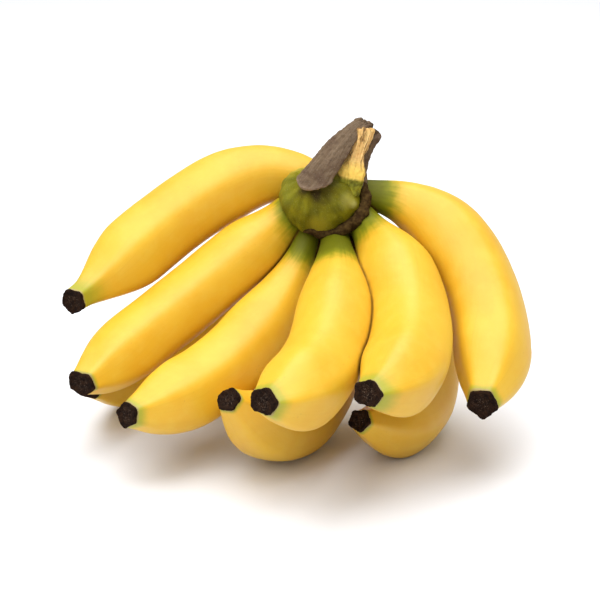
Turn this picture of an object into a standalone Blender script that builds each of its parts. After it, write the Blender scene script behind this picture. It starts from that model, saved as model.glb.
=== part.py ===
"""A hand of small bananas, of the lady finger kind, resting on the bellies of its lower fingers.

Metres, +Z up, and the floor is at z = 0. The crown is what the fingers grow from. An empty stands at
the crown's middle, and every place in this file is measured from there. Seen from the front (along +Y),
+X is to the right.
"""

import math
from typing import NamedTuple

import bmesh
import bpy
from mathutils import Vector

# Where the crown's middle stands, which puts the origin under the middle of the whole hand
CROWN_PLACE = Vector((0.0145, 0.0385, 0.1065))
# The way the crown's dome faces: forward, up and a little to the left
CROWN_FACES = Vector((-0.15, -0.89, 0.43))

# Two solids that grow together keep this much room between their meshes
GAP = 0.0003
# Corners closer than this are one corner
WELD = 0.00001
# An edge that is sharper than this many degrees stays sharp
SMOOTH_UNDER = 50
# A block under the floor, wider than the hand, which cuts the flat spots that the hand rests on
FLOOR_BLOCK = (0.4, 0.4, 0.02)
# Steps in which a middle line is measured
LINE_STEPS = 400

# Half sizes of the crown: across the hand, up it, and along the way that the dome faces
DOME_HALF = (0.0188, 0.0150, 0.0150)
PAD_HALF = (0.0195, 0.0170, 0.0180)
PAD_SET_BACK = 0.0085
RIM_HALF = (0.0205, 0.0180)
RIM_THICKNESS = 0.0034
# The crown sits this much below the point that the places are measured from
CROWN_DROP = 0.0015
CROWN_SIDES = 28
CROWN_RINGS = 14

# Every finger starts inside the crown, which cuts it off where it comes out. Shares are of its length.
# How blunt the shoulder is behind the neck; 1 is a plain S curve and less is blunter
NECK_SHARE = 0.05
SHOULDER_POWER = 0.85
# A finger has five soft ridges, which stand out from a round section by this share of its radius
RIDGES = 5
RIDGE_SHARE = 0.035
SIDES_PER_RIDGE = 3
FINGER_RINGS = 21

# The dried flower end: a short corky knob with a shallow dish in its face
FLOWER_LENGTH = 0.0042
FLOWER_SIDES = 12
# Its half profile as shares of the radius and of the height, from the dish's middle over the lip and down
# the side
FLOWER_PROFILE = (
    (0.0, 0.72), (0.42, 0.68), (0.72, 1.0), (0.94, 0.88), (1.07, 0.42), (1.0, 0.0), (0.0, 0.0))

# How a finger narrows to its flower end: the share of its length that is already narrow, the share over
# which it narrows, and the power that rounds it
USUAL_TAPER = (0.01, 0.24, 0.60)
BLUNT_TAPER = (0.01, 0.19, 0.50)
LONG_TAPER = (0.045, 0.27, 0.85)


class Finger(NamedTuple):
    full: float  # radius at its thickest
    neck: float  # radius at its neck
    end: float  # radius at its flower end
    full_at: float  # share of its length at which it is thickest
    taper: tuple
    turn: float  # turn of its ridges, in degrees
    line: tuple  # four points on its middle line, from inside the crown to the tip of the flower end


# The outer row is 1 to 6, from left to right, and the inner row behind and below it is 7 to 9
FINGERS = {
    "finger_1": Finger(0.0165, 0.0110, 0.0054, 0.20, LONG_TAPER, 10, (
        (-0.011, 0.018, 0.002), (-0.044, 0.019, 0.000),
        (-0.084, -0.001, -0.023), (-0.111, -0.039, -0.037))),
    "finger_2": Finger(0.0156, 0.0070, 0.0056, 0.27, USUAL_TAPER, 25, (
        (-0.014, 0.008, -0.009), (-0.050, -0.010, -0.035),
        (-0.083, -0.032, -0.056), (-0.105, -0.064, -0.065))),
    "finger_3": Finger(0.0160, 0.0044, 0.0050, 0.48, USUAL_TAPER, 40, (
        (-0.008, 0.003, -0.016), (-0.026, -0.024, -0.049),
        (-0.053, -0.050, -0.0695), (-0.084, -0.083, -0.070))),
    "finger_4": Finger(0.0163, 0.0050, 0.0062, 0.48, BLUNT_TAPER, 5, (
        (0.003, 0.002, -0.016), (0.002, -0.044, -0.037),
        (-0.007, -0.082, -0.054), (-0.027, -0.114, -0.050))),
    "finger_5": Finger(0.0168, 0.0064, 0.0060, 0.32, USUAL_TAPER, 20, (
        (0.012, 0.002, -0.009), (0.033, -0.033, -0.033),
        (0.033, -0.075, -0.049), (0.013, -0.111, -0.048))),
    "finger_6": Finger(0.0170, 0.0066, 0.0061, 0.37, USUAL_TAPER, 30, (
        (0.011, 0.006, -0.001), (0.0555, -0.005, -0.0185),
        (0.070, -0.039, -0.050), (0.062, -0.079, -0.067))),
    "finger_7": Finger(0.0152, 0.0052, 0.0049, 0.39, USUAL_TAPER, 15, (
        (-0.002, 0.013, -0.020), (0.005, -0.003, -0.061),
        (-0.010, -0.035, -0.092), (-0.042, -0.085, -0.062))),
    "finger_8": Finger(0.0156, 0.0054, 0.0050, 0.39, USUAL_TAPER, 0, (
        (0.011, 0.015, -0.017), (0.040, 0.008, -0.055),
        (0.043, -0.022, -0.089), (0.012, -0.069, -0.079))),
    "finger_9": Finger(0.0148, 0.0052, 0.0050, 0.39, USUAL_TAPER, 30, (
        (-0.013, 0.018, -0.017), (-0.041, 0.026, -0.063),
        (-0.078, 0.017, -0.0915), (-0.107, -0.028, -0.082))),
}
# The fingers that the hand rests on
RESTING = ("finger_7", "finger_8", "finger_9")

# The stub of the bunch's stalk: a trunk that rises from the crown, and the thick strip of dried bark
# that lies over the trunk's left side and ends in a lip on the dome
TRUNK_POINTS = (
    (0.005, 0.002, 0.002), (0.008, 0.003, 0.011), (0.012, 0.004, 0.019), (0.0165, 0.004, 0.027))
TRUNK_RADII = (0.0112, 0.0100, 0.0090, 0.0088)
BARK_POINTS = (
    (-0.008, -0.014, 0.009), (-0.003, -0.010, 0.016), (0.004, -0.005, 0.024), (0.0115, -0.001, 0.032))
BARK_RADII = (0.0062, 0.0068, 0.0066, 0.0068)
# How deep their sections are for their width
TRUNK_DEPTH_SHARE = 0.90
BARK_DEPTH_SHARE = 0.75
STALK_RINGS = 10
STALK_SIDES = 14

SKIN = {"colour": (0.93, 0.62, 0.06, 1), "roughness": 0.45}
GREEN = {"colour": (0.20, 0.25, 0.02, 1), "roughness": 0.50}
BARK = {"colour": (0.16, 0.11, 0.075, 1), "roughness": 0.85}
CORK = {"colour": (0.030, 0.016, 0.009, 1), "roughness": 0.90}


def clear_scene():
    for thing in list(bpy.data.objects):
        bpy.data.objects.remove(thing, do_unlink=True)


def new_collection(name):
    collection = bpy.data.collections.new(name)
    bpy.context.scene.collection.children.link(collection)
    return collection


def new_material(name, look):
    material = bpy.data.materials.new(name)
    material.use_nodes = True
    shader = material.node_tree.nodes["Principled BSDF"]
    shader.inputs["Base Color"].default_value = look["colour"]
    shader.inputs["Roughness"].default_value = look["roughness"]
    shader.inputs["Metallic"].default_value = 0.0
    return material


def new_object(name, data, collection, parent, material=None):
    thing = bpy.data.objects.new(name, data)
    collection.objects.link(thing)
    thing.parent = parent
    if material:
        thing.data.materials.append(material)
    return thing


def as_helper(thing):
    """Marks a cutter or a guide, which is no piece of the fruit."""
    thing.hide_render = True
    thing.display_type = "WIRE"
    return thing


def smooth_step(share):
    share = min(max(share, 0.0), 1.0)
    return share * share * (3 - 2 * share)


def through_four(points, share):
    """The cubic curve that passes its four points at shares 0, 1/3, 2/3 and 1."""
    first, second, third, last = (Vector(point) for point in points)
    return (
        first * ((1 - 3 * share) * (1 - 1.5 * share) * (1 - share))
        + second * (9 * share * (1 - 1.5 * share) * (1 - share))
        - third * (4.5 * share * (1 - 3 * share) * (1 - share))
        + last * (share * (1 - 3 * share) * (1 - 1.5 * share))
    )


def even_points(points, count, cut_off=0.0):
    """Even points along the curve, stopping cut_off metres before its end, and its whole length."""
    fine = [through_four(points, step / LINE_STEPS) for step in range(LINE_STEPS + 1)]
    along = [0.0]
    for before, after in zip(fine, fine[1:]):
        along.append(along[-1] + (after - before).length)
    length = along[-1]
    found = []
    at = 1
    for index in range(count):
        goal = (length - cut_off) * index / (count - 1)
        while along[at] < goal and at < len(fine) - 1:
            at += 1
        share = (goal - along[at - 1]) / (along[at] - along[at - 1])
        found.append(fine[at - 1].lerp(fine[at], share))
    return found, length


def girth(share, name):
    """A finger's radius at a share of its length: thin neck, shoulder, full body, blunt taper."""
    of = FINGERS[name]
    narrow_share, taper_share, taper_power = of.taper
    shoulder = smooth_step((share - NECK_SHARE) / (of.full_at - NECK_SHARE)) ** SHOULDER_POWER
    taper = smooth_step((1 - share - narrow_share) / taper_share) ** taper_power
    return (of.neck + (of.full - of.neck) * shoulder) * (of.end + (of.full - of.end) * taper) / of.full


def section_curve(name, outline, collection):
    """A closed outline, one metre in radius, that a tube takes as its section."""
    data = bpy.data.curves.new(name, "CURVE")
    data.dimensions = "2D"
    spline = data.splines.new("POLY")
    spline.points.add(len(outline) - 1)
    for point, (x, y) in zip(spline.points, outline):
        point.co = (x, y, 0, 1)
    spline.use_cyclic_u = True
    return as_helper(new_object(name, data, collection, None))


def ridged_outline():
    sides = RIDGES * SIDES_PER_RIDGE
    outline = []
    for side in range(sides):
        angle = 2 * math.pi * side / sides
        reach = 1 + RIDGE_SHARE * math.cos(RIDGES * angle)
        outline.append((reach * math.cos(angle), reach * math.sin(angle)))
    return outline


def round_outline(sides, deep):
    angles = [2 * math.pi * side / sides for side in range(sides)]
    return [(math.cos(angle), deep * math.sin(angle)) for angle in angles]


def tube(name, points, radii, section, collection, parent, material, tilt=0.0):
    """A closed tube of the section's outline along the points, as a mesh object."""
    data = bpy.data.curves.new(name + "_line", "CURVE")
    data.dimensions = "3D"
    data.bevel_mode = "OBJECT"
    data.bevel_object = section
    data.use_fill_caps = True
    spline = data.splines.new("POLY")
    spline.points.add(len(points) - 1)
    for point, place, radius in zip(spline.points, points, radii):
        point.co = (*place, 1)
        point.radius = radius
        point.tilt = tilt
    line = new_object(name + "_line", data, collection, parent)
    bpy.context.view_layer.update()
    graph = bpy.context.evaluated_depsgraph_get()
    mesh = bpy.data.meshes.new_from_object(line.evaluated_get(graph))
    mesh.name = name
    welded = bmesh.new()
    welded.from_mesh(mesh)
    bmesh.ops.remove_doubles(welded, verts=welded.verts, dist=WELD)
    bmesh.ops.recalc_face_normals(welded, faces=welded.faces)
    welded.to_mesh(mesh)
    welded.free()
    made = new_object(name, mesh, collection, parent, material)
    made.matrix_world = line.matrix_world
    bpy.data.objects.remove(line, do_unlink=True)
    mesh.shade_smooth()
    mesh.set_sharp_from_angle(angle=math.radians(SMOOTH_UNDER))
    return made


def boolean(thing, operation, other):
    modifier = thing.modifiers.new(operation.lower() + "_" + other.name, "BOOLEAN")
    modifier.operation = operation
    modifier.object = other
    modifier.solver = "EXACT"


def add_ellipsoid(mesh, half_sizes, middle):
    made = bmesh.ops.create_uvsphere(mesh, u_segments=CROWN_SIDES, v_segments=CROWN_RINGS, radius=1.0)
    bmesh.ops.scale(mesh, vec=half_sizes, verts=made["verts"])
    bmesh.ops.translate(mesh, vec=middle, verts=made["verts"])


def add_rim(mesh, half_sizes, thickness):
    made = bmesh.ops.create_cone(
        mesh, cap_ends=True, segments=CROWN_SIDES, radius1=1.0, radius2=1.0, depth=1.0
    )
    bmesh.ops.scale(mesh, vec=(*half_sizes, thickness), verts=made["verts"])


def crown_piece(name, shape, grow, collection, parent, material):
    """One of the crown's three overlapping shapes, in the crown's own frame, its dome facing +Z."""
    mesh = bpy.data.meshes.new(name)
    work = bmesh.new()
    if shape == "dome":
        add_ellipsoid(work, [half + grow for half in DOME_HALF], (0, 0, 0))
    elif shape == "pad":
        add_ellipsoid(work, [half + grow for half in PAD_HALF], (0, 0, -PAD_SET_BACK))
    else:
        add_rim(work, [half + grow for half in RIM_HALF], RIM_THICKNESS + 2 * grow)
    work.to_mesh(mesh)
    work.free()
    piece = new_object(name, mesh, collection, parent, material)
    piece.location = (0, 0, -CROWN_DROP)
    piece.rotation_mode = "QUATERNION"
    piece.rotation_quaternion = CROWN_FACES.to_track_quat("Z", "Y")
    mesh.shade_smooth()
    mesh.set_sharp_from_angle(angle=math.radians(SMOOTH_UNDER))
    return piece


def crown(name, grow, collection, parent, helpers, material=None):
    """The crown: a dome in front, a raised rim round it, and behind the rim the pad that the necks leave."""
    whole = crown_piece(name, "pad", grow, collection, parent, material)
    for shape in ("rim", "dome"):
        other = as_helper(crown_piece(name + "_" + shape, shape, grow, helpers, parent, None))
        boolean(whole, "UNION", other)
    return whole


def flower_end(name, radius, place, direction, collection, parent, material):
    """The knob of dried flower, turned about the finger's line, with a dished face."""
    height = FLOWER_LENGTH - GAP
    mesh = bpy.data.meshes.new(name)
    work = bmesh.new()
    corners = [work.verts.new((radius * out, 0, height * up)) for out, up in FLOWER_PROFILE]
    for before, after in zip(corners, corners[1:]):
        work.edges.new((before, after))
    work.to_mesh(mesh)
    work.free()
    knob = new_object(name, mesh, collection, parent, material)
    screw = knob.modifiers.new("turn", "SCREW")
    screw.steps = FLOWER_SIDES
    screw.render_steps = FLOWER_SIDES
    screw.use_merge_vertices = True
    screw.merge_threshold = WELD
    knob.location = place + direction * GAP
    knob.rotation_mode = "QUATERNION"
    knob.rotation_quaternion = direction.to_track_quat("Z", "Y")
    return knob


def floor_block(collection):
    """A block whose top is the floor, for cutting the flat spots that the hand rests on."""
    mesh = bpy.data.meshes.new("floor_block")
    work = bmesh.new()
    made = bmesh.ops.create_cube(work, size=1.0)
    bmesh.ops.scale(work, vec=FLOOR_BLOCK, verts=made["verts"])
    bmesh.ops.translate(work, vec=(0, 0, -FLOOR_BLOCK[2] / 2), verts=made["verts"])
    work.to_mesh(mesh)
    work.free()
    return as_helper(new_object("floor_block", mesh, collection, None))


def finger(name, section, fruit, helpers, parent, skin, cork, room, floor):
    of = FINGERS[name]
    points, length = even_points(of.line, FINGER_RINGS, cut_off=FLOWER_LENGTH)
    skin_share = 1 - FLOWER_LENGTH / length
    shares = [skin_share * index / (FINGER_RINGS - 1) for index in range(FINGER_RINGS)]
    radii = [girth(share, name) for share in shares]
    body = tube(name, points, radii, section, fruit, parent, skin, tilt=math.radians(of.turn))
    boolean(body, "DIFFERENCE", room)
    if name in RESTING:
        boolean(body, "DIFFERENCE", floor)
    direction = (points[-1] - points[-2]).normalized()
    flower_end(name.replace("finger", "flower_end"), of.end, points[-1], direction, fruit, parent, cork)


def radii_between(radii, count):
    """Radii for count rings, read evenly between the stated ones."""
    found = []
    for index in range(count):
        at = (len(radii) - 1) * index / (count - 1)
        low = min(int(at), len(radii) - 2)
        found.append(radii[low] + (radii[low + 1] - radii[low]) * (at - low))
    return found


def stalk(fruit, helpers, parent, bark, room):
    trunk_section = section_curve("trunk_section", round_outline(STALK_SIDES, TRUNK_DEPTH_SHARE), helpers)
    bark_section = section_curve("bark_section", round_outline(STALK_SIDES, BARK_DEPTH_SHARE), helpers)
    trunk_points, _ = even_points(TRUNK_POINTS, STALK_RINGS)
    bark_points, _ = even_points(BARK_POINTS, STALK_RINGS)
    whole = tube("stalk", trunk_points, radii_between(TRUNK_RADII, STALK_RINGS), trunk_section,
                 fruit, parent, bark)
    strip = tube("bark_strip", bark_points, radii_between(BARK_RADII, STALK_RINGS), bark_section,
                 helpers, parent, None)
    boolean(whole, "UNION", as_helper(strip))
    boolean(whole, "DIFFERENCE", room)


def main():
    clear_scene()
    fruit = new_collection("hand_of_bananas")
    helpers = new_collection("cutters")
    middle = new_object("crown_middle", None, fruit, None)
    middle.location = CROWN_PLACE
    skin = new_material("banana_skin", SKIN)
    green = new_material("green_crown", GREEN)
    bark = new_material("dried_stalk", BARK)
    cork = new_material("dried_flower", CORK)
    crown("crown", 0.0, fruit, middle, helpers, green)
    room = as_helper(crown("crown_room", GAP, helpers, middle, helpers))
    floor = floor_block(helpers)
    section = section_curve("finger_section", ridged_outline(), helpers)
    for name in FINGERS:
        finger(name, section, fruit, helpers, middle, skin, cork, room, floor)
    stalk(fruit, helpers, middle, bark, room)


main()
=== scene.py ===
# %% [markdown]
# # A hand of small bananas
# Nine short, stubby bananas grow side by side from one green crown. The plain solids of the part already
# have the right places and sizes. This lesson gives each of them its real surface: ridged skin that goes
# from green to yellow, corky flower ends, a creased crown with a brown rim, and a torn stub of stalk.
# Everything stays inside the box of the plain solids, so that box is measured first.

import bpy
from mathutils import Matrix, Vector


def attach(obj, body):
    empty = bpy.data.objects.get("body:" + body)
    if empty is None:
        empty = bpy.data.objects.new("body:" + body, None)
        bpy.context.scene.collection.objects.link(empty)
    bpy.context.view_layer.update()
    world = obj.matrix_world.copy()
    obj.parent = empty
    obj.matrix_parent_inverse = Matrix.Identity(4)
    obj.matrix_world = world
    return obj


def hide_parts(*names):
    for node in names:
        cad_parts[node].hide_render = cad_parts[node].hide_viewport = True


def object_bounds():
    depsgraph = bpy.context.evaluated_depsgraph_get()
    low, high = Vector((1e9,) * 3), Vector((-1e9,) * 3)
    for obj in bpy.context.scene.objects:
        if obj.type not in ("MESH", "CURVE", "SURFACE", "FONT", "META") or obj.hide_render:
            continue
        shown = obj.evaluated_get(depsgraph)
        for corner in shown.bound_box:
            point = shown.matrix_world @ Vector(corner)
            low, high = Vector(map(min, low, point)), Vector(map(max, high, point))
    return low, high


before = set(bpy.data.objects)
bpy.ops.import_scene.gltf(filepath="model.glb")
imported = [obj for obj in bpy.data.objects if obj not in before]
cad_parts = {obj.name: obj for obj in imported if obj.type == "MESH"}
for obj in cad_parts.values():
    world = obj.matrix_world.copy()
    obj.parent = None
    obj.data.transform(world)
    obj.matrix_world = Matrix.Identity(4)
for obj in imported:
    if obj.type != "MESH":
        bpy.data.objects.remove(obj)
cad_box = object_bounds()
print("the", len(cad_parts), "plain solids reach from", [round(v * 1000, 1) for v in cad_box[0]], "to",
      [round(v * 1000, 1) for v in cad_box[1]], "mm")

# %% [markdown]
# ## Where things are
# Every place is measured from the middle of the crown, as on the plain solids. A finger is described by
# its thickness in three places and by four points on its middle line. That is enough for a smooth bend,
# because just one cubic curve passes through four given points. A named tuple gives each number a name, so
# later cells can say `finger.neck`.

# %% The fingers, as numbers
import math
from typing import NamedTuple

import bpy
import numpy as np
from mathutils import Quaternion, Vector

CROWN = Vector((0.0145, 0.0385, 0.1065))
CROWN_FACES = Vector((-0.15, -0.89, 0.43)).normalized()
CROWN_DROP = 0.0015

USUAL_TAPER = (0.01, 0.24, 0.60)
BLUNT_TAPER = (0.01, 0.19, 0.50)
LONG_TAPER = (0.045, 0.27, 0.85)
SLOW_TAPER = (0.01, 0.33, 0.80)


class Finger(NamedTuple):
    full: float  # radius at its thickest
    neck: float  # radius at its neck
    end: float  # radius at its flower end
    full_at: float  # share of its length at which it is thickest
    taper: tuple  # share that is narrow at its end, share over which it narrows, power that rounds it
    turn: float  # turn of its ridges, in degrees
    green_neck: float  # how far from the crown's middle its neck is green
    green_end: float  # how far from its end it is green
    line: tuple  # four points on its middle line, from inside the crown to the tip


FINGERS = {
    1: Finger(0.0164, 0.0112, 0.0054, 0.34, LONG_TAPER, 10, 0.014, 0.0130, (
        (-0.005, 0.018, -0.0025), (-0.044, 0.019, 0.000),
        (-0.084, -0.001, -0.023), (-0.111, -0.039, -0.037))),
    2: Finger(0.0149, 0.0095, 0.0058, 0.23, USUAL_TAPER, 25, 0.022, 0.0015, (
        (-0.014, 0.008, -0.009), (-0.050, -0.010, -0.0358),
        (-0.083, -0.032, -0.0573), (-0.105, -0.064, -0.065))),
    3: Finger(0.0159, 0.0055, 0.0052, 0.45, USUAL_TAPER, 40, 0.030, 0.0035, (
        (-0.008, 0.003, -0.016), (-0.026, -0.024, -0.049),
        (-0.053, -0.050, -0.0695), (-0.084, -0.083, -0.070))),
    4: Finger(0.0166, 0.0063, 0.0062, 0.45, BLUNT_TAPER, 5, 0.033, 0.0035, (
        (0.003, 0.002, -0.016), (0.0028, -0.044, -0.037),
        (-0.0056, -0.082, -0.0514), (-0.027, -0.114, -0.050))),
    5: Finger(0.0172, 0.0076, 0.0061, 0.30, USUAL_TAPER, 20, 0.024, 0.0060, (
        (0.012, 0.002, -0.009), (0.0316, -0.033, -0.033),
        (0.0315, -0.075, -0.0485), (0.013, -0.111, -0.048))),
    6: Finger(0.0168, 0.0066, 0.0062, 0.37, USUAL_TAPER, 30, 0.028, 0.0030, (
        (0.011, 0.006, -0.001), (0.0555, -0.005, -0.0185),
        (0.070, -0.039, -0.050), (0.062, -0.079, -0.067))),
    7: Finger(0.0150, 0.0056, 0.0049, 0.39, USUAL_TAPER, 15, 0.026, 0.0015, (
        (-0.002, 0.013, -0.020), (0.005, -0.003, -0.061),
        (-0.010, -0.035, -0.092), (-0.042, -0.085, -0.062))),
    8: Finger(0.0155, 0.0056, 0.0050, 0.39, USUAL_TAPER, 0, 0.026, 0.0015, (
        (0.011, 0.015, -0.017), (0.040, 0.008, -0.055),
        (0.043, -0.022, -0.089), (0.012, -0.069, -0.079))),
    9: Finger(0.0163, 0.0052, 0.0050, 0.39, SLOW_TAPER, 30, 0.026, 0.0015, (
        (-0.013, 0.018, -0.017), (-0.041, 0.026, -0.0615),
        (-0.078, 0.017, -0.0900), (-0.107, -0.028, -0.082))),
}
NECK_SHARE = 0.05
SHOULDER_POWER = 0.85
KNOB_LENGTH = 0.0018
thickest = max(finger.full for finger in FINGERS.values())
print(len(FINGERS), "fingers, the thickest", thickest * 2000, "mm across")


# %% Walk along a finger's middle line
LINE_STEPS = 600


def through_four(points, share):
    first, second, third, last = (Vector(p) for p in points)
    return (first * ((1 - 3 * share) * (1 - 1.5 * share) * (1 - share))
            + second * (9 * share * (1 - 1.5 * share) * (1 - share))
            - third * (4.5 * share * (1 - 3 * share) * (1 - share))
            + last * (share * (1 - 3 * share) * (1 - 1.5 * share)))


def middle_line(points, count, cut_off=0.0):
    """Evenly spaced places in the scene, the line's direction at each, and the line's whole length."""
    fine = np.array([through_four(points, n / LINE_STEPS) + CROWN for n in range(LINE_STEPS + 1)])
    along = np.concatenate([[0.0], np.cumsum(np.linalg.norm(np.diff(fine, axis=0), axis=1))])
    goals = np.linspace(0, along[-1] - cut_off, count)
    places = np.stack([np.interp(goals, along, fine[:, axis]) for axis in range(3)], axis=1)
    slopes = np.gradient(places, axis=0)
    slopes /= np.linalg.norm(slopes, axis=1)[:, None]
    return places, slopes, along[-1]


def smooth_step(share):
    """Climbs from 0 to 1 with no corner at either end."""
    share = np.clip(share, 0, 1)
    return share * share * (3 - 2 * share)


def girth(shares, finger):
    """A finger's radius at shares of its length: thin neck, shoulder, full body, blunt taper."""
    full, end = finger.full, finger.end
    narrow, taper_share, power = finger.taper
    shoulder = smooth_step((shares - NECK_SHARE) / (finger.full_at - NECK_SHARE)) ** SHOULDER_POWER
    taper = smooth_step((1 - shares - narrow) / taper_share) ** power
    return (finger.neck + (full - finger.neck) * shoulder) * (end + (full - end) * taper) / full


for number, finger in FINGERS.items():
    whole_length = middle_line(finger.line, LINE_STEPS)[2]
    print("finger", number, "is", round(whole_length * 1000), "mm long along its bend")

# %% [markdown]
# ## Growing a shape ring by ring
# A banana is a bent, tapering body with five soft ridges. A curve with a bevel would give the bend, but
# not the ridges and the changing shoulder. So each finger is grown by hand, as it would be in edit mode: a
# disc stands at the neck, and is pushed out, resized and turned, ring by ring. The 3D cursor is laid along
# the hinge line of each turn, because a turn about the cursor's own axis can be as skewed as it needs.
# Subdivision then rounds the rings. It also pulls a ring of few sides in a little, which is made up for.

# %% Tools for growing
RING_SIDES = 15
WELD = 0.00002
BOX_MARGIN = 0.00002
STRAIGHT = 1e-6
ROUNDING_LOSS = 2 / 3 + math.cos(2 * math.pi / RING_SIDES) / 3


def start_disc(name, place, direction, radius, turn=0.0):
    """A filled disc, left in edit mode and selected all over."""
    bpy.ops.object.select_all(action="DESELECT")
    facing = Vector(direction).to_track_quat("Z", "Y") @ Quaternion((0, 0, 1), turn)
    bpy.ops.mesh.primitive_circle_add(vertices=RING_SIDES, radius=radius, fill_type="NGON",
                                      location=place, rotation=facing.to_euler())
    piece = bpy.context.object
    piece.name = name
    bpy.ops.object.transform_apply(location=True, rotation=True, scale=True)
    bpy.ops.object.mode_set(mode="EDIT")
    bpy.ops.mesh.select_mode(type="VERT")
    bpy.ops.mesh.select_all(action="SELECT")
    return piece


def turn_about(place, before, after):
    """Turns what is selected about place, as much as the line turns there."""
    hinge = Vector(before).cross(Vector(after))
    if hinge.length < STRAIGHT:
        return
    cursor = bpy.context.scene.cursor
    cursor.rotation_mode = "QUATERNION"
    cursor.rotation_quaternion = hinge.normalized().to_track_quat("Z", "Y")
    # With no window open, Blender turns the other way, hence the minus
    bpy.ops.transform.rotate(value=-Vector(before).angle(Vector(after)), orient_axis="Z",
                             orient_type="CURSOR", center_override=place)


def push_out(places, slopes, radii):
    """Pushes the selected disc out along the places, resizing and turning it at each."""
    for n in range(1, len(places)):
        bpy.ops.mesh.extrude_region_move(TRANSFORM_OT_translate={"value": places[n] - places[n - 1]})
        ratio = radii[n] / radii[n - 1]
        bpy.ops.transform.resize(value=(ratio, ratio, ratio), center_override=places[n])
        turn_about(places[n], slopes[n - 1], slopes[n])


def finish_shape(piece, levels):
    """Leaves edit mode, closes doubles, rounds the shape and shades it smooth."""
    bpy.ops.mesh.select_all(action="SELECT")
    bpy.ops.mesh.remove_doubles(threshold=WELD)
    bpy.ops.mesh.normals_make_consistent(inside=False)
    bpy.ops.object.mode_set(mode="OBJECT")
    rounding = piece.modifiers.new("rounding", "SUBSURF")
    rounding.levels = rounding.render_levels = levels
    bpy.ops.object.modifier_apply(modifier="rounding")
    bpy.ops.object.shade_smooth()


def corners_of(piece):
    """All of a piece's points as one array."""
    flat = np.empty(len(piece.data.vertices) * 3)
    piece.data.vertices.foreach_get("co", flat)
    return flat.reshape(-1, 3)


def move_corners(piece, corners):
    piece.data.vertices.foreach_set("co", corners.ravel())
    piece.data.update()


def keep_inside(piece):
    """Brings the few points outside the plain solids' box back into it, and the lowest onto the floor."""
    low, high = (np.array(corner) for corner in cad_box)
    low[:2] += BOX_MARGIN
    move_corners(piece, np.clip(corners_of(piece), low, high - BOX_MARGIN))


def write_values(piece, name, values, kind="FLOAT"):
    """Stores a value for each point, which a material can read by its name."""
    layer = piece.data.attributes.new(name, kind, "POINT")
    layer.data.foreach_set("vector" if kind == "FLOAT_VECTOR" else "value", np.ravel(values))


print("a ring of", RING_SIDES, "sides keeps", round(ROUNDING_LOSS * 100), "% of its radius when rounded")

# %% [markdown]
# ## The fingers
# Once a finger is grown, every third corner of each ring is drawn out a little, so the body carries five
# ridges, softer at the neck and sharper at the flower end. Some ends are also lower than wide, and drawn out
# to a blunt point, as on the real fruit. Real skin is never quite even, so a Displace modifier with a cloud
# texture adds shallow dents. The three fingers that the hand rests on are pressed flat at the floor. Each
# point then gets the values that the skin's finish needs: how far from the end it is, how green the end and
# the neck are there, and where it is around the finger.

# %% Grow the nine fingers
FINGER_RINGS = 26
DENT_SIZE = 0.018
DENT_DEPTH = 0.0006
# How far the ridges stand out at shares of the length: soft at the neck, sharp at the flower end
RIDGE_SHARES = (0.0, 0.5, 0.85, 1.0)
RIDGE_HEIGHTS = (0.03, 0.055, 0.09, 0.15)
# How many times less the skin between two ridges sinks in
RIDGE_TO_VALLEY = 2.5
# Which way the outline of an end is drawn out to a point, how far, how sharply, and from which share on
END_POINTS = {2: (-0.8, 0, 0.4), 3: (-0.3, 0, -1), 4: (-1, 0, -0.1), 5: (-1, 0, -0.6), 6: (0.1, 0, -1),
              7: (0.1, 0, 1), 8: (-1, 0, 0.1)}
POINT_HEIGHT = 0.24
POINT_SHARPNESS = 5
POINT_FROM = 0.93
# How much lower than wide an end is, and from which share on
END_SQUASH = {2: 0.16, 3: 0.12, 4: 0.27, 5: 0.24, 6: 0.08, 8: 0.10}
SQUASH_FROM = 0.88
END_INSET = 0.0006
# How finely a finger is measured, in places along it and in points at a time
MARK_STEPS = 480
BATCH = 2000
# A direction that no finger runs along, from which the way around a finger is measured
NO_FINGER_WAY = (0.2, 0.3, 0.93)
NECK_FADE = 0.010
SKIN_GRAIN = 0.03
end_outlines = {}
dents = bpy.data.textures.new("skin dents", "CLOUDS")
dents.noise_scale = DENT_SIZE


def from_share(shares, start):
    """0 before the start, and a smooth climb from there to 1 at the far end."""
    return smooth_step((shares - start) / (1 - start))


def draw_out(rings, places, shares, number):
    """Draws every third corner of each ring out to a ridge, and the end's outline to a point."""
    out = rings - places[:, None]
    ridge = np.interp(shares, RIDGE_SHARES, RIDGE_HEIGHTS)[:, None, None]
    out[:, ::3] *= 1 + ridge
    out[:, 1::3] *= 1 - ridge / RIDGE_TO_VALLEY
    out[:, 2::3] *= 1 - ridge / RIDGE_TO_VALLEY
    if number in END_POINTS:
        toward = Vector(END_POINTS[number]).normalized()
        facing = (out @ np.array(toward)) / np.linalg.norm(out, axis=2)
        sharpened = np.clip(facing, 0, 1) ** POINT_SHARPNESS
        point = POINT_HEIGHT * sharpened * from_share(shares, POINT_FROM)[:, None]
        out *= 1 + point[:, :, None]
    out[:, :, 2] *= 1 - END_SQUASH.get(number, 0) * from_share(shares, SQUASH_FROM)[:, None]
    return places[:, None] + out


def nearest_places(corners, places):
    """For each corner the number of the place that is nearest, found in batches to save memory."""
    nearest = np.empty(len(corners), int)
    for start in range(0, len(corners), BATCH):
        gaps = corners[start:start + BATCH, None] - places[None]
        nearest[start:start + BATCH] = np.einsum("ijk,ijk->ij", gaps, gaps).argmin(axis=1)
    return nearest


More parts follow.
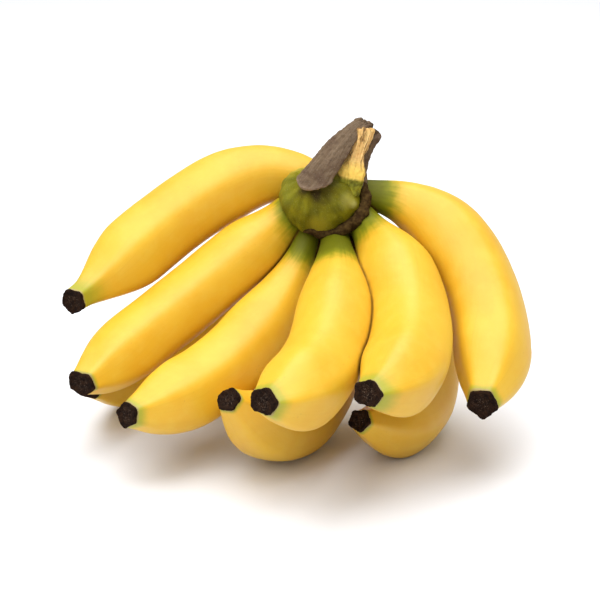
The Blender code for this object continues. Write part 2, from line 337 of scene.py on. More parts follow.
def mark_skin(piece, finger):
    """Writes where each point is along and around the finger, and how green it is."""
    places, slopes, length = middle_line(finger.line, MARK_STEPS)
    corners = corners_of(piece)
    nearest = nearest_places(corners, places)
    out = corners - places[nearest]
    side = np.cross(slopes, NO_FINGER_WAY)
    side /= np.linalg.norm(side, axis=1)[:, None]
    other = np.cross(slopes, side)
    around = np.arctan2((out * other[nearest]).sum(1), (out * side[nearest]).sum(1))
    share = nearest / (len(places) - 1)
    to_end = (1 - share) * length - KNOB_LENGTH
    from_crown = np.linalg.norm(corners - np.array(CROWN), axis=1)
    write_values(piece, "to_end", to_end * 1000)
    write_values(piece, "green_end", 1.5 - to_end / finger.green_end)
    write_values(piece, "green_neck", 1 - (from_crown - finger.green_neck) / NECK_FADE)
    ring = np.stack([np.cos(around), np.sin(around), share * length / SKIN_GRAIN], axis=1)
    write_values(piece, "around", ring, "FLOAT_VECTOR")


def grow_finger(number):
    finger = FINGERS[number]
    places, slopes, length = middle_line(finger.line, FINGER_RINGS, KNOB_LENGTH)
    shares = np.linspace(0, 1 - KNOB_LENGTH / length, FINGER_RINGS)
    radii = girth(shares, finger) / ROUNDING_LOSS
    piece = start_disc(f"banana_{number}", places[0], slopes[0], radii[0], math.radians(finger.turn))
    push_out(places, slopes, radii)
    bpy.ops.object.mode_set(mode="OBJECT")
    rings = corners_of(piece).reshape(FINGER_RINGS, RING_SIDES, 3)
    rings = draw_out(rings, places, shares, number)
    end_outlines[number] = rings[-1] - places[-1]
    move_corners(piece, rings)
    bpy.ops.object.mode_set(mode="EDIT")
    bpy.ops.mesh.inset(thickness=END_INSET)
    finish_shape(piece, 2)
    unevenness = piece.modifiers.new("unevenness", "DISPLACE")
    unevenness.texture = dents
    unevenness.texture_coords = "LOCAL"
    unevenness.strength = DENT_DEPTH
    bpy.ops.object.modifier_apply(modifier="unevenness")
    keep_inside(piece)
    mark_skin(piece, finger)
    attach(piece, "root")
    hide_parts(f"finger_{number}")
    return piece


fingers = {number: grow_finger(number) for number in FINGERS}
print("each finger has", len(fingers[1].data.polygons), "faces")

# %% [markdown]
# ## Painted shade where fingers touch
# Where two fingers meet, a thin dark brown line of painted shade stands for the shade in the crease between
# them, and partly for the brown that rubbing leaves on the skin. A tree of each finger's faces finds how near
# a point is to its neighbours, quickly. That nearness is stored on the points, and the skin's finish paints
# it as that dark brown shade.

# %% Mark where the fingers touch
from mathutils.bvhtree import BVHTree

TOUCH_SHADE_REACH = 0.0022


def paint_touch_shade():
    depsgraph = bpy.context.evaluated_depsgraph_get()
    trees = {number: BVHTree.FromObject(piece, depsgraph) for number, piece in fingers.items()}
    for number, piece in fingers.items():
        others = [tree for other, tree in trees.items() if other != number]
        nearness = []
        for vertex in piece.data.vertices:
            gaps = [tree.find_nearest(vertex.co, TOUCH_SHADE_REACH)[3] for tree in others]
            nearest = min((gap for gap in gaps if gap is not None), default=TOUCH_SHADE_REACH)
            nearness.append(1 - nearest / TOUCH_SHADE_REACH)
        # Painted shade: each point's nearness to the other fingers, which the skin's finish darkens
        write_values(piece, "touch_shade", np.array(nearness))
        print("finger", number, "touches others at", sum(near > 0.5 for near in nearness), "points")


paint_touch_shade()

# %% [markdown]
# ## The flower ends
# The end of each finger carries what is left of its flower: a dry, nearly black knob with a ragged,
# slightly angular outline and a hollow in its face. It is grown like the fingers, from a disc that takes
# the outline of its own finger's end, with its corners pulled in and out at random. The random numbers start
# from each finger's own number, so that the knobs differ, but come out the same every time. Noise of two
# sizes then makes the surface crumbly.

# %% Grow the nine flower ends
import random

from mathutils import noise

# Steps out along the knob: share of its length, share of its radius. Then steps back into its hollow.
KNOB_STEPS = ((-0.5, 0.97), (0.45, 1.03), (0.85, 0.99), (1.0, 0.90))
HOLLOW_STEPS = ((-0.10, 0.76), (-0.22, 0.60), (-0.08, 0.36), (0.12, 0.20))
KNOB_UNEVENNESS = 0.035
# Size and depth of the crumbs, and how far apart in the noise two knobs are
CRUMBS = ((0.0020, 0.0004, 7.3), (0.0008, 0.0002, 3.1))


def roughen(piece, size, depth, seed):
    """Moves each point along its normal by noise of that size and depth."""
    corners = corners_of(piece)
    for vertex, corner in zip(piece.data.vertices, corners):
        corner += np.array(vertex.normal) * depth * noise.noise(Vector(corner) / size + Vector((seed, 0, 0)))
    move_corners(piece, corners)


def grow_flower_end(number):
    finger = FINGERS[number]
    places, slopes, _ = middle_line(finger.line, FINGER_RINGS, KNOB_LENGTH)
    base, way = places[-1], slopes[-1]
    ups = [up for up, _ in KNOB_STEPS]
    for back, _ in HOLLOW_STEPS:
        ups.append(ups[-1] + back)
    middles = [base + way * KNOB_LENGTH * up for up in ups]
    piece = start_disc(f"knob_{number}", middles[0], way, finger.end)
    bpy.ops.object.mode_set(mode="OBJECT")
    draw = random.Random(number)
    stretches = [[1 + draw.uniform(-KNOB_UNEVENNESS, KNOB_UNEVENNESS)] for _ in range(RING_SIDES)]
    outline = end_outlines[number] * stretches
    move_corners(piece, middles[0] + outline * KNOB_STEPS[0][1])
    bpy.ops.object.mode_set(mode="EDIT")
    push_out(middles, [way] * len(ups), [share for _, share in KNOB_STEPS + HOLLOW_STEPS])
    finish_shape(piece, 3)
    for size, depth, apart in CRUMBS:
        roughen(piece, size, depth, number * apart)
    keep_inside(piece)
    out = corners_of(piece) - base
    out -= np.outer(out @ way, way)
    write_values(piece, "from_middle", np.linalg.norm(out, axis=1) / finger.end)
    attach(piece, "root")
    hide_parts(f"flower_end_{number}")
    return piece


knobs = {number: grow_flower_end(number) for number in FINGERS}
print("each flower end has", len(knobs[1].data.polygons), "faces")

# %% [markdown]
# ## The crown
# The crown is a cushion of green tissue that bulges towards the viewer, with creases that fan down from
# the stalk. Behind it a pad carries the necks, and a thin web of brown skin hangs between them. All three
# start as spheres of the right place and size. A sphere has no creases, so the cushion's points are then
# moved by a formula, which is quicker and easier to steer than sculpting each crease by hand.

# %% Shape the cushion and the pad
DOME_HALF = (0.0186, 0.0158, 0.0150)
DOME_ASIDE = Vector((-0.0036, 0, -0.0004))
PAD_HALF = (0.0188, 0.0160, 0.0178)
PAD_SET_BACK = 0.0090
WEB_HALF = (0.0190, 0.0075, 0.0165)
WEB_PLACE = CROWN + Vector((0.001, 0.005, -0.0185))
crown_turn = CROWN_FACES.to_track_quat("Z", "Y")
crown_place = CROWN - Vector((0, 0, CROWN_DROP))


def add_bulge(name, half_sizes, place, turn):
    """A sphere stretched to the half sizes and turned."""
    bpy.ops.object.select_all(action="DESELECT")
    bpy.ops.mesh.primitive_uv_sphere_add(segments=96, ring_count=48, radius=1, location=place,
                                         rotation=turn.to_euler(), scale=half_sizes)
    piece = bpy.context.object
    piece.name = name
    bpy.ops.object.transform_apply(location=True, rotation=True, scale=True)
    bpy.ops.object.shade_smooth()
    return piece


def in_crown_frame(corners):
    """Points as right, up and outward distances from the crown's middle."""
    to_crown = np.array(crown_turn.to_matrix())
    return (corners - np.array(crown_place)) @ to_crown


# The creases fan out from here, just under the lip of the bark
FAN = (-0.004, 0.008)
CREASE_DEPTH = 0.00060
# They fade in over this distance, both from there and from the cushion's foot
CREASE_FADE = 0.010
CUSHION_FOOT = -0.004
FAN_GRAIN = 0.02


def crease(piece):
    corners = corners_of(piece)
    right, up, out = in_crown_frame(corners).T
    angle = np.arctan2(up - FAN[1], right - FAN[0])
    reach = np.hypot(right - FAN[0], up - FAN[1])
    # Nine wavy folds go all round the fan, with 21 finer and 4 broader ones on top
    waviness = 0.8 * np.sin(reach * 300)
    folds = (0.6 * np.sin(angle * 9 + waviness) + 0.4 * np.sin(angle * 21 + 1.7)
             + 0.5 * np.sin(angle * 4 + 2.1))
    strength = smooth_step(reach / CREASE_FADE) * smooth_step((out - CUSHION_FOOT) / CREASE_FADE)
    normals = np.array([vertex.normal for vertex in piece.data.vertices])
    move_corners(piece, corners + normals * (CREASE_DEPTH * folds * strength)[:, None])
    fan = np.stack([np.cos(angle), np.sin(angle), reach / FAN_GRAIN], axis=1)
    write_values(piece, "fan", fan, "FLOAT_VECTOR")


cushion = add_bulge("cushion", DOME_HALF, crown_place + DOME_ASIDE, crown_turn)
crease(cushion)
roughen(cushion, size=0.006, depth=0.0009, seed=4.0)
pad = add_bulge("neck_pad", PAD_HALF, crown_place - CROWN_FACES * PAD_SET_BACK, crown_turn)
roughen(pad, size=0.006, depth=0.0008, seed=9.0)
web = add_bulge("web", WEB_HALF, WEB_PLACE, Quaternion())
roughen(web, size=0.004, depth=0.0012, seed=3.0)
for piece in (cushion, pad, web):
    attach(piece, "root")
    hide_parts("crown")
print("the cushion is", round(DOME_HALF[0] * 2000, 1), "mm wide")

# %% [markdown]
# The rim is a thin roll of dried skin. A torus laid flat in the crown's own plane gives the roll. It is
# uneven: thick at the lower right, thin and partly torn at the left, which a formula on its points gives.

# %% Roll the rim
RIM_ACROSS = 0.0174
RIM_HEIGHT_SHARE = 0.92
RIM_ROLL = 0.0024
RIM_FORWARD = 0.0026
# The roll is thickest this many degrees below the right, and this share as thick at its thinnest
THICKEST_AT = 60
THINNEST = 0.28
RIM_LUMPS = 0.08
# The thin side lies sunk between the cushion and the necks, this share as far out
SUNK_SHARE = 0.93


def add_rim():
    bpy.ops.object.select_all(action="DESELECT")
    bpy.ops.mesh.primitive_torus_add(
        major_segments=160, minor_segments=20, major_radius=RIM_ACROSS, minor_radius=RIM_ROLL,
        location=crown_place, rotation=crown_turn.to_euler())
    piece = bpy.context.object
    piece.name = "rim"
    piece.scale = (1, RIM_HEIGHT_SHARE, 1)
    bpy.ops.object.transform_apply(location=True, rotation=True, scale=True)
    corners = corners_of(piece)
    right, up, out = in_crown_frame(corners).T
    angle = np.arctan2(up / RIM_HEIGHT_SHARE, right)
    spine = np.stack([np.cos(angle) * RIM_ACROSS, np.sin(angle) * RIM_ACROSS * RIM_HEIGHT_SHARE,
                      np.zeros(len(angle))], axis=1)
    lowness = 0.5 + 0.5 * np.cos(angle + math.radians(THICKEST_AT))
    lumps = RIM_LUMPS * np.sin(angle * 7 + 1) * np.sin(angle * 3)
    thick = THINNEST + lowness ** 0.8 + lumps
    local = spine + (np.stack([right, up, out], axis=1) - spine) * thick[:, None]
    local[:, 2] += RIM_FORWARD * lowness
    local[:, :2] *= (SUNK_SHARE + (1 - SUNK_SHARE) * lowness)[:, None]
    move_corners(piece, local @ np.array(crown_turn.to_matrix()).T + np.array(crown_place))
    bpy.ops.object.shade_smooth()
    roughen(piece, size=0.003, depth=0.0010, seed=2.0)
    roughen(piece, size=0.0011, depth=0.0004, seed=5.0)
    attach(piece, "root")
    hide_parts("crown")
    return piece


rim = add_rim()
print("the rim is", round((RIM_ACROSS + RIM_ROLL) * 2000, 1), "mm across")

# %% [markdown]
# ## The stub of stalk
# When the hand was cut off the bunch, a stub of the stalk stayed on. Its trunk is brown skin all round. On
# its front the cut wood is laid bare, tan at the torn top and yellow-green where it runs into the crown, and
# a thick strip of grey-brown bark lies beside it and ends in a curled lip on the cushion. All three are
# grown ring by ring like the fingers, and then pressed flatter from the front. Their fibres are grooves
# along the length, made by noise that changes fast around a piece and slowly along it. Noise also tears the
# far end, where the stalk was broken off.

# %% Grow the trunk, the bark and the cut wood
TRUNK_LINE = ((0.0072, 0.0020, 0.0026), (0.0099, 0.0040, 0.0139), (0.0140, 0.0050, 0.0226),
              (0.0192, 0.0052, 0.0286))
TRUNK_RADII = (0.0108, 0.0086, 0.0073, 0.0060)
BARK_LINE = ((-0.0078, -0.0143, 0.0086), (-0.0009, -0.0101, 0.0172), (0.0062, -0.0040, 0.0254),
             (0.0150, 0.0052, 0.0321))
BARK_RADII = (0.0071, 0.0062, 0.0048, 0.0028)
WOOD_LINE = ((0.0092, -0.0061, 0.0009), (0.0104, -0.0058, 0.0119), (0.0127, -0.0031, 0.0201),
             (0.0155, 0.0013, 0.0298))
WOOD_RADII = (0.0045, 0.0056, 0.0060, 0.0034, 0.0043, 0.0051)
STALK_RINGS = 14
STALK_STEPS = 120
STALK_INSET = 0.002
STALK_GRAIN = 0.01
# From here on the far end is torn, in tears this close together
TORN_FROM = 0.75
TEARS_AROUND = 2.2
# The lip curls up over this share of the bark's length, and is this share as thick at its start
LIP_SHARE = 0.13
LIP_CURL = 0.0020
LIP_THICKNESS = 0.55
LIP_THIN_UNTIL = 0.35
# The lip's outline: how far its left side reaches out, how round it is, and the share that is like this
LIP_SLANT = 0.0034
LIP_ROUND = 0.0054
LIP_PULLED_BACK = 0.3
LIP_OUTLINE_UNTIL = 0.5


class Seen(NamedTuple):
    """Each point of a stalk piece as seen from its middle line: one row for a point."""
    middle: np.ndarray  # the nearest place on the line
    way: np.ndarray  # the way the line runs there
    front: np.ndarray  # the way to the viewer, square to the line
    side: np.ndarray  # square to both
    share: np.ndarray  # how far along the line the place is


def seen_from_line(corners, line):
    fine, ways, _ = middle_line(line, STALK_STEPS)
    nearest = nearest_places(corners, fine)
    view = np.array(CROWN_FACES)
    fronts = view[None] - (ways @ view)[:, None] * ways
    fronts /= np.linalg.norm(fronts, axis=1)[:, None]
    way, front = ways[nearest], fronts[nearest]
    return Seen(fine[nearest], way, front, np.cross(way, front), nearest / (STALK_STEPS - 1))


def curl_lip(corners, seen, aside, curl):
    """Lifts the near end to a lip, and gives its edge a slanted, rounded outline."""
    at_lip = np.clip(1 - seen.share / LIP_SHARE, 0, 1) ** 2
    corners += seen.front * (curl * at_lip)[:, None]
    leftward = np.clip(-aside, -1, 1)
    near_lip = np.clip(1 - seen.share / LIP_OUTLINE_UNTIL, 0, 1)
    reach_out = LIP_SLANT * leftward + LIP_ROUND * (1 - leftward ** 2) - LIP_PULLED_BACK * LIP_ROUND
    corners -= seen.way * (reach_out * near_lip)[:, None]


def groove_and_tear(corners, seen, around, fibres, depth, tear, seed):
    """Presses grooves along the piece, and tears its far end."""
    out = corners - seen.middle
    out -= seen.way * (out * seen.way).sum(1)[:, None]
    out /= np.maximum(np.linalg.norm(out, axis=1), STRAIGHT)[:, None]
    torn_share = from_share(seen.share, TORN_FROM)
    for n, (angle, along) in enumerate(zip(around, seen.share)):
        spot = Vector((math.cos(angle) * fibres, math.sin(angle) * fibres, along * 3 + seed))
        groove = noise.noise(spot) + 0.5 * noise.noise(spot * 2.3)
        corners[n] += out[n] * depth * groove
        edge = Vector((math.cos(angle) * TEARS_AROUND, math.sin(angle) * TEARS_AROUND, seed))
        corners[n] += seen.way[n] * (noise.noise(edge) * tear) * torn_share[n]


def grow_stalk_part(name, line, radii, squash, fibres, depth, tear, seed, lip=0.0):
    places, slopes, length = middle_line(line, STALK_RINGS)
    ring_shares = np.linspace(0, 1, STALK_RINGS)
    sizes = np.interp(ring_shares, np.linspace(0, 1, len(radii)), radii) / ROUNDING_LOSS
    piece = start_disc(name, places[0], slopes[0], sizes[0])
    push_out(places, slopes, sizes)
    bpy.ops.mesh.inset(thickness=STALK_INSET)
    finish_shape(piece, 3)
    corners = corners_of(piece)
    seen = seen_from_line(corners, line)
    toward = ((corners - seen.middle) * seen.front).sum(1)
    aside = ((corners - seen.middle) * seen.side).sum(1)
    around = np.arctan2(toward, aside)
    reach = np.hypot(toward, aside) / np.interp(seen.share, ring_shares, sizes)
    flatness = np.full(len(corners), squash)
    if lip:
        flatness *= LIP_THICKNESS + (1 - LIP_THICKNESS) * smooth_step(seen.share / LIP_THIN_UNTIL)
    corners -= seen.front * (toward * (1 - flatness))[:, None]
    if lip:
        curl_lip(corners, seen, aside / sizes[0], lip)
    groove_and_tear(corners, seen, around, fibres, depth, tear, seed)
    move_corners(piece, corners)
    roughen(piece, size=0.0015, depth=0.0004, seed=seed)
    keep_inside(piece)
    write_values(piece, "along", seen.share)
    # 1 in the middle of the torn face, 0 on the sides
    write_values(piece, "inner", 1 - smooth_step((reach - 0.35) / 0.45))
    ring = np.stack([np.cos(around), np.sin(around), seen.share * length / STALK_GRAIN], axis=1)
    write_values(piece, "around", ring, "FLOAT_VECTOR")
    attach(piece, "root")
    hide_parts("stalk")
    return piece


trunk = grow_stalk_part("trunk", TRUNK_LINE, TRUNK_RADII, squash=0.90, fibres=2.6, depth=0.0006,
                        tear=0.004, seed=11.0)
bark = grow_stalk_part("bark", BARK_LINE, BARK_RADII, squash=0.55, fibres=2.2, depth=0.00045,
                       tear=0.003, seed=1.0, lip=LIP_CURL)
cut_wood = grow_stalk_part("cut_wood", WOOD_LINE, WOOD_RADII, squash=0.60, fibres=1.8, depth=0.0006,
                           tear=0.002, seed=6.0)
print("the bark has", len(bark.data.polygons), "faces")

# %% [markdown]
# ## Finishes
# A finish is a tree of shader nodes. Building it node by node hides what it does, so two small classes let
# it be written as sums. A `Value` is one output socket: adding or multiplying Values makes Math nodes. A
# `Finish` holds the material, and its `node` makes any other node from its type, settings and inputs.

# %% Classes for writing finishes as sums
class Value:
    """One number, colour or direction that varies over a surface."""

    def __init__(self, finish, socket):
        self.finish, self.socket = finish, socket

    def maths(self, operation, *values):
        return self.finish.node("ShaderNodeMath", {"operation": operation}, dict(enumerate(values)))

    def __add__(self, other):
        return self.maths("ADD", self, other)

    __radd__ = __add__

    def __mul__(self, other):
        return self.maths("MULTIPLY", self, other)

    __rmul__ = __mul__

    def __sub__(self, other):
        return self.maths("SUBTRACT", self, other)

    def __rsub__(self, other):
        return self.maths("SUBTRACT", other, self)

    def rise(self, low, high):
        """0 below low, 1 above high, and a smooth climb between."""
        return self.finish.node("ShaderNodeMapRange", {"interpolation_type": "SMOOTHSTEP"},
                                {"Value": self, "From Min": low, "From Max": high})


class Finish:
    """A material whose shader is fed by Values."""

    def __init__(self, name, **fixed):
        self.material = bpy.data.materials.new(name)
        self.material.use_nodes = True
        self.tree = self.material.node_tree
        self.shader = self.tree.nodes["Principled BSDF"]
        for socket, value in fixed.items():
            self.shader.inputs[socket.replace("_", " ")].default_value = value

    def node(self, kind, settings, inputs, output=0):
        made = self.tree.nodes.new(kind)
        for setting, value in settings.items():
            setattr(made, setting, value)
        for key, value in inputs.items():
            if isinstance(value, Value):
                self.tree.links.new(value.socket, made.inputs[key])
            else:
                made.inputs[key].default_value = value
        return Value(self, made.outputs[output])

    def feed(self, **values):
        for socket, value in values.items():
            self.tree.links.new(value.socket, self.shader.inputs[socket.replace("_", " ")])

    def mix(self, share, first, second):
        """A colour between two others: the first at share 0, the second at 1."""
        colours = {key: value if isinstance(value, Value) else (*value, 1)
                   for key, value in ((6, first), (7, second))}
        return self.node("ShaderNodeMix", {"data_type": "RGBA"}, {0: share, **colours}, 2)

    def place(self):
        return self.node("ShaderNodeTexCoord", {}, {}, "Object")

    def value_of(self, name, output="Fac"):
        """What write_values stored under that name."""
        return self.node("ShaderNodeAttribute", {"attribute_name": name}, {}, output)

    def cloud(self, place, scale, detail=2.0, roughness=0.5):
        """Soft random patches, from 0 to 1, scale of them to a unit."""
        return self.node("ShaderNodeTexNoise", {}, {"Vector": place, "Scale": scale, "Detail": detail,
                                                    "Roughness": roughness}, "Fac")

    def stretch(self, place, scales):
        return self.node("ShaderNodeVectorMath", {"operation": "MULTIPLY"}, {0: place, 1: scales})

    def distance(self, place, point):
        return self.node("ShaderNodeVectorMath", {"operation": "DISTANCE"}, {0: place, 1: point}, "Value")

    def bump(self, height, depth, strength=1.0):
        return self.node("ShaderNodeBump", {}, {"Height": height, "Distance": depth, "Strength": strength},
                         "Normal")


def wear(material, *pieces):
    for piece in pieces:
        piece.data.materials.clear()
        piece.data.materials.append(material)


print("the finishes have", len(Value.__dict__) + len(Finish.__dict__), "tools")

# %% [markdown]
# ## Banana skin
# Ripe skin is a warm yellow that is never even: golden patches drift over it, and faint lines run from neck
# to end. The necks are green, and so is the end of some fingers. The colours are mixed one over another in
# that order. The skin is waxy, so it shines softly, and light goes a little way into it, which the shader's
# subsurface gives.

# %% Finish the skin
def skin_finish():
    skin = Finish("banana skin", Subsurface_Weight=0.10, Subsurface_Radius=(1.0, 0.45, 0.10),
                  Subsurface_Scale=0.003, Specular_IOR_Level=0.15, Coat_Roughness=0.45)
    place = skin.place()
    around = skin.value_of("around", "Vector")
    patches = skin.cloud(place, 34, 3, 0.55).rise(0.35, 0.70)
    colour = skin.mix(patches, (0.68, 0.405, 0.020), (0.65, 0.355, 0.013))
    fine_patches = skin.cloud(place, 190, 3, 0.6).rise(0.40, 0.75)
    colour = skin.mix(fine_patches * 0.30, colour, (0.69, 0.460, 0.050))
    lines = skin.cloud(skin.stretch(around, (7, 7, 0.35)), 1, 3, 0.6)
    colour = skin.mix(lines.rise(0.52, 0.75) * 0.16, colour, (0.50, 0.28, 0.015))
    # Green necks, with an uneven edge
    uneven = skin.cloud(place, 260, 2) * 0.5 + lines * 0.5 - 0.5
    neck = skin.value_of("green_neck") + uneven
    colour = skin.mix(neck.rise(0.10, 1.15), colour, (0.225, 0.225, 0.006))
    colour = skin.mix(neck.rise(0.65, 1.5) * 0.75, colour, (0.090, 0.098, 0.003))
    # Green towards the flower end, with a straw-coloured line where the skin stops
    tip = (skin.value_of("green_end") + uneven * 0.6).rise(0.0, 1.3)
    colour = skin.mix(tip * 0.85, colour, (0.28, 0.31, 0.014))
    edge = 1 - (skin.value_of("to_end") + uneven).rise(0.1, 0.9)
    colour = skin.mix(edge * 0.8, colour, (0.33, 0.24, 0.09))
    # A few faint brown freckles
    cells = skin.node("ShaderNodeTexVoronoi", {"feature": "F1"}, {"Vector": place, "Scale": 420}, "Distance")
    rare = skin.cloud(place, 90, 1).rise(0.60, 0.68)
    colour = skin.mix((1 - cells.rise(0.08, 0.22)) * rare * 0.22, colour, (0.36, 0.17, 0.02))
    # Painted shade, dark brown, in the creases where fingers touch, partly also rub marks
    touch_shade = (skin.value_of("touch_shade") + uneven * 0.5).rise(0.25, 0.95)
    colour = skin.mix(touch_shade * 0.80, colour, (0.120, 0.050, 0.006))
    skin.feed(Base_Color=colour, Roughness=0.48 + fine_patches * 0.08 + lines * 0.08,
              Coat_Weight=0.62 - neck.rise(0.1, 1.0) * 0.58)
    pores = skin.cloud(place, 1300, 2, 0.6)
    skin.feed(Normal=skin.bump(lines * 0.7 + pores * 0.3, 0.0003, 0.45))
    return skin.material


banana_skin = skin_finish()
wear(banana_skin, *fingers.values())
print("the skin has", len(banana_skin.node_tree.nodes), "nodes")

# %% [markdown]
# ## Dried flower
# The knobs are almost black, with a matt, crumbly surface. Paler grey and brown crumbs sit in the hollow,
# so the distance from the knob's middle, stored on its points, decides where they show.

# %% Finish the flower ends
def flower_finish():
    cork = Finish("dried flower", Specular_IOR_Level=0.06)
    place = cork.place()
    coarse = cork.cloud(place, 500, 4, 0.7)
    fine = cork.cloud(place, 2200, 3, 0.7)
    colour = cork.mix(coarse.rise(0.35, 0.70), (0.007, 0.003, 0.002), (0.026, 0.012, 0.006))
    inside = 1 - cork.value_of("from_middle").rise(0.35, 0.80)
    colour = cork.mix(fine.rise(0.55, 0.70) * (inside * 0.50 + 0.06), colour, (0.26, 0.19, 0.14))
    cork.feed(Base_Color=colour, Roughness=0.75 + coarse * 0.2,
              Normal=cork.bump(coarse * 0.6 + fine * 0.4, 0.0006, 0.9))
    return cork.material


dried_flower = flower_finish()
wear(dried_flower, *knobs.values())
print("the dried flower has", len(dried_flower.node_tree.nodes), "nodes")

# %% [markdown]
# ## Crown, rim and stalk
# The cushion is olive green with fine specks, with painted shadow under the bark's lip and painted light
# towards its lower edge. The rim and the bark are dry brown skin with fibres. The cut wood goes from
# yellow-green at the crown to tan at the torn top, with dark cracks. The web between the necks is brown skin
# like the rim, and the trunk is bark. Soft spots of colour are laid over the cushion: some are its tint,
# which changes from place to place, and some are painted shade, painted light and a painted highlight.

# %% Finish the cushion and the pad
# Soft spots of colour: how far right, up and out of the crown's middle, the two radii between which the
# spot fades, its strength and its colour
CUSHION_SPOTS = (
    # Painted shade in the middle, under the bark's lip
    ((-0.001, 0.001, 0.015), 0.003, 0.010, 0.75, (0.062, 0.048, 0.003)),
    # Painted light, yellow, at the lower edge
    ((-0.002, -0.014, 0.007), 0.002, 0.008, 0.60, (0.33, 0.27, 0.02)),
    # Painted shadow, nearly black, under the bark's lip
    ((-0.0085, 0.0004, 0.0138), 0.0012, 0.0052, 0.9, (0.030, 0.015, 0.004)),
    ((-0.0035, -0.0004, 0.0150), 0.0008, 0.0044, 0.8, (0.030, 0.015, 0.004)),
    # Yellow at the upper left
    ((-0.015, 0.0125, 0.002), 0.0020, 0.0095, 0.7, (0.42, 0.33, 0.03)),
    # A painted highlight, the palest place, at the right
    ((0.011, -0.0025, 0.0105), 0.000, 0.0060, 0.6, (0.40, 0.37, 0.08)),
    ((0.0135, -0.0037, 0.009), 0.000, 0.0040, 0.7, (0.50, 0.48, 0.16)),
    # Lighter green at the left
    ((-0.016, 0.000, 0.006), 0.002, 0.011, 0.35, (0.33, 0.33, 0.04)),
    # Brown beside the cut wood
    ((0.006, 0.012, 0.010), 0.001, 0.005, 0.7, (0.22, 0.13, 0.012)),
)


def cushion_finish():
    green = Finish("green cushion", Subsurface_Weight=0.06, Subsurface_Radius=(0.8, 1.0, 0.2),
                   Subsurface_Scale=0.002, Specular_IOR_Level=0.12)
    place = green.place()
    patches = green.cloud(place, 120, 3, 0.6)
    streaks = green.cloud(green.stretch(green.value_of("fan", "Vector"), (5, 5, 1)), 1, 4, 0.65)
    colour = green.mix(patches.rise(0.30, 0.70), (0.096, 0.092, 0.002), (0.200, 0.178, 0.004))
    colour = green.mix(streaks.rise(0.48, 0.70) * 0.35, colour, (0.050, 0.045, 0.002))
    colour = green.mix(streaks.rise(0.50, 0.30) * 0.18, colour, (0.30, 0.29, 0.030))
    for offset, inner, outer, strength, tint in CUSHION_SPOTS:
        middle = crown_place + crown_turn @ Vector(offset)
        spot = 1 - (green.distance(place, middle) + patches * 0.004 - 0.002).rise(inner, outer)
        colour = green.mix(spot * strength, colour, tint)
    specks = green.cloud(place, 1500, 2, 0.6).rise(0.58, 0.70)
    colour = green.mix(specks * 0.30, colour, (0.36, 0.34, 0.07))
    green.feed(Base_Color=colour, Roughness=0.48 + patches * 0.15,
               Normal=green.bump(specks * 0.3 + patches * 0.6 + streaks * 0.3, 0.0009, 0.8))
    return green.material


green_cushion = cushion_finish()
wear(green_cushion, cushion, pad)
print("the cushion's finish has", len(green_cushion.node_tree.nodes), "nodes")


# %% Finish the rim, the bark and the cut wood
def rim_finish():
    skin = Finish("torn brown skin", Specular_IOR_Level=0.10)
    place = skin.place()
    patches = skin.cloud(place, 420, 4, 0.65)
    colour = skin.mix(patches.rise(0.35, 0.70), (0.030, 0.014, 0.003), (0.085, 0.050, 0.014))
    skin.feed(Base_Color=colour, Roughness=0.75 + patches * 0.2, Normal=skin.bump(patches, 0.0009, 0.8))
    return skin.material


def bark_finish():
    dry = Finish("dry bark", Specular_IOR_Level=0.08)
    place = dry.place()
    around = dry.value_of("around", "Vector")
    fibres = dry.cloud(dry.stretch(around, (9, 9, 0.9)), 1, 4, 0.65)
    colour = dry.mix(fibres.rise(0.30, 0.72), (0.116, 0.076, 0.045), (0.185, 0.131, 0.084))
    blotches = dry.cloud(place, 160, 3, 0.6)
    colour = dry.mix(blotches.rise(0.45, 0.70) * 0.7, colour, (0.085, 0.050, 0.034))
    crumbs = dry.cloud(place, 1500, 3, 0.7).rise(0.50, 0.70)
    colour = dry.mix(crumbs * 0.45, colour, (0.29, 0.22, 0.155))
    along = dry.value_of("along")
    colour = dry.mix((1 - along.rise(0.0, 0.05)) * 0.60, colour, (0.36, 0.26, 0.18))
    torn = dry.value_of("inner").rise(0.05, 0.5) * along.rise(0.5, 0.6)
    colour = dry.mix(torn * 0.85, colour, (0.045, 0.025, 0.012))
    dry.feed(Base_Color=colour, Roughness=0.80 + blotches * 0.15,
             Normal=dry.bump(fibres * 0.35 + crumbs * 0.3 + blotches * 0.4, 0.0009, 0.8))
    return dry.material


def wood_finish():
    wood = Finish("cut wood", Specular_IOR_Level=0.3, Subsurface_Weight=0.05, Subsurface_Scale=0.002)
    along = wood.value_of("along")
    around = wood.value_of("around", "Vector")
    fibres = wood.cloud(wood.stretch(around, (5, 5, 0.6)), 1, 3, 0.6)
    tan = wood.mix(fibres.rise(0.35, 0.70), (0.52, 0.30, 0.09), (0.72, 0.47, 0.18))
    colour = wood.mix(along.rise(0.35, 0.60), (0.76, 0.52, 0.10), tan)
    cracks = wood.cloud(wood.stretch(around, (1.6, 1.6, 0.5)), 1, 5, 0.7) - 0.5
    crack = (1 - cracks.maths("ABSOLUTE", cracks).rise(0.006, 0.035)) * along.rise(0.35, 0.6)
    colour = wood.mix(crack * 0.8, colour, (0.22, 0.10, 0.03))
    # Where it runs into the crown it is as green as the cushion
    patches = wood.cloud(wood.place(), 260, 3, 0.6)
    green = wood.mix(patches.rise(0.35, 0.65), (0.095, 0.095, 0.003), (0.26, 0.25, 0.015))
    colour = wood.mix((along + patches * 0.06 - 0.03).rise(0.30, 0.25), colour, green)
    wood.feed(Base_Color=colour, Roughness=0.65 + fibres * 0.2,
              Normal=wood.bump(fibres - crack, 0.0008, 0.8))
    return wood.material


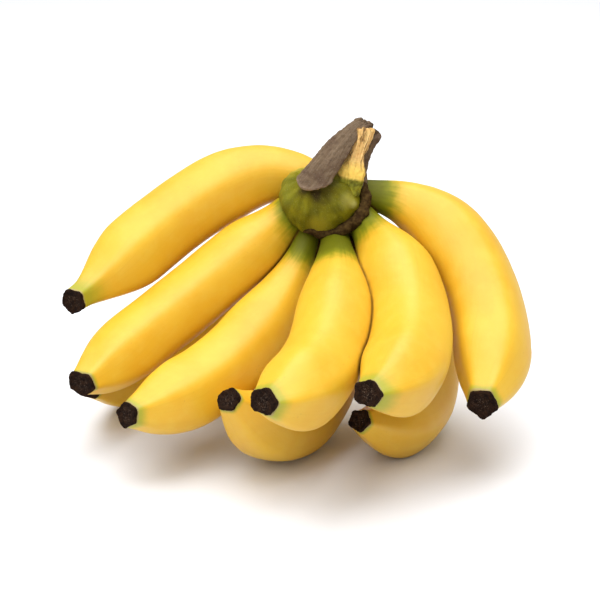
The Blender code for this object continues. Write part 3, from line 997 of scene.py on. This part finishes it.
brown_skin, dry_bark, tan_wood = rim_finish(), bark_finish(), wood_finish()
wear(brown_skin, rim, web)
wear(dry_bark, bark, trunk)
wear(tan_wood, cut_wood)
print("the bark has", len(dry_bark.node_tree.nodes), "nodes, the wood", len(tan_wood.node_tree.nodes))

# %% [markdown]
# ## Floor, light and camera
# The fruit stands on plain white paper under soft studio light. A key lamp from the upper left front gives
# the highlights and the soft shadow, a wide one overhead lights the whole, and the pale world fills the
# rest. The camera looks 20 degrees down, and its long lens keeps the fruit as flat as in a shop's picture.

# %% Set the floor
FLOOR_SIZE = 6.0
# Just under the fruit, because two faces in one place would flicker
FLOOR_DROP = 0.0002
bpy.ops.object.select_all(action="DESELECT")
bpy.ops.mesh.primitive_plane_add(size=FLOOR_SIZE, location=(0, 0, -FLOOR_DROP))
floor = bpy.context.object
floor.name = "floor"
bpy.ops.object.transform_apply(location=True, rotation=True, scale=True)
paper = Finish("white paper", Roughness=0.9, Specular_IOR_Level=0.1)
grain = paper.cloud(paper.place(), 40, 2)
paper.feed(Base_Color=paper.mix(grain, (0.76, 0.772, 0.805), (0.77, 0.782, 0.815)))
wear(paper.material, floor)
print("the floor is", FLOOR_SIZE, "m wide")

# %% Set the light
WORLD_COLOUR = (1.0, 0.985, 0.96, 1)
WORLD_STRENGTH = 0.50
AIM = Vector((0, 0, 0.05))
world = bpy.data.worlds.new("studio")
world.use_nodes = True
background = world.node_tree.nodes["Background"]
background.inputs["Color"].default_value = WORLD_COLOUR
background.inputs["Strength"].default_value = WORLD_STRENGTH
bpy.context.scene.world = world


def add_lamp(name, place, size, power):
    """A round white lamp that shines on the fruit."""
    data = bpy.data.lights.new(name, "AREA")
    data.shape = "DISK"
    data.size = size
    data.energy = power
    lamp = bpy.data.objects.new(name, data)
    bpy.context.scene.collection.objects.link(lamp)
    lamp.location = place
    lamp.rotation_euler = (AIM - Vector(place)).to_track_quat("-Z", "Y").to_euler()
    return lamp


key_lamp = add_lamp("key lamp", place=(-0.32, -0.70, 1.00), size=1.0, power=8.6)
add_lamp("wide lamp", place=(0.0, 0.2, 2.4), size=3.0, power=85.0)
print("the key lamp is", round((key_lamp.location - AIM).length, 2), "m away")

# %% Set the camera
# In millimetres, as on a real camera
FOCAL_LENGTH = 80
SENSOR_WIDTH = 36
CAMERA_FROM_CROWN = Vector((-0.0126, -0.580, 0.1608))
DEGREES_DOWN = 20
lens = bpy.data.cameras.new("camera")
lens.lens = FOCAL_LENGTH
lens.sensor_width = SENSOR_WIDTH
camera = bpy.data.objects.new("camera", lens)
bpy.context.scene.collection.objects.link(camera)
camera.location = CROWN + CAMERA_FROM_CROWN
camera.rotation_euler = (math.radians(90 - DEGREES_DOWN), 0, 0)
bpy.context.scene.camera = camera
bpy.context.scene.view_settings.view_transform = "Standard"
print("the camera is", round((camera.location - CROWN).length, 3), "m from the crown")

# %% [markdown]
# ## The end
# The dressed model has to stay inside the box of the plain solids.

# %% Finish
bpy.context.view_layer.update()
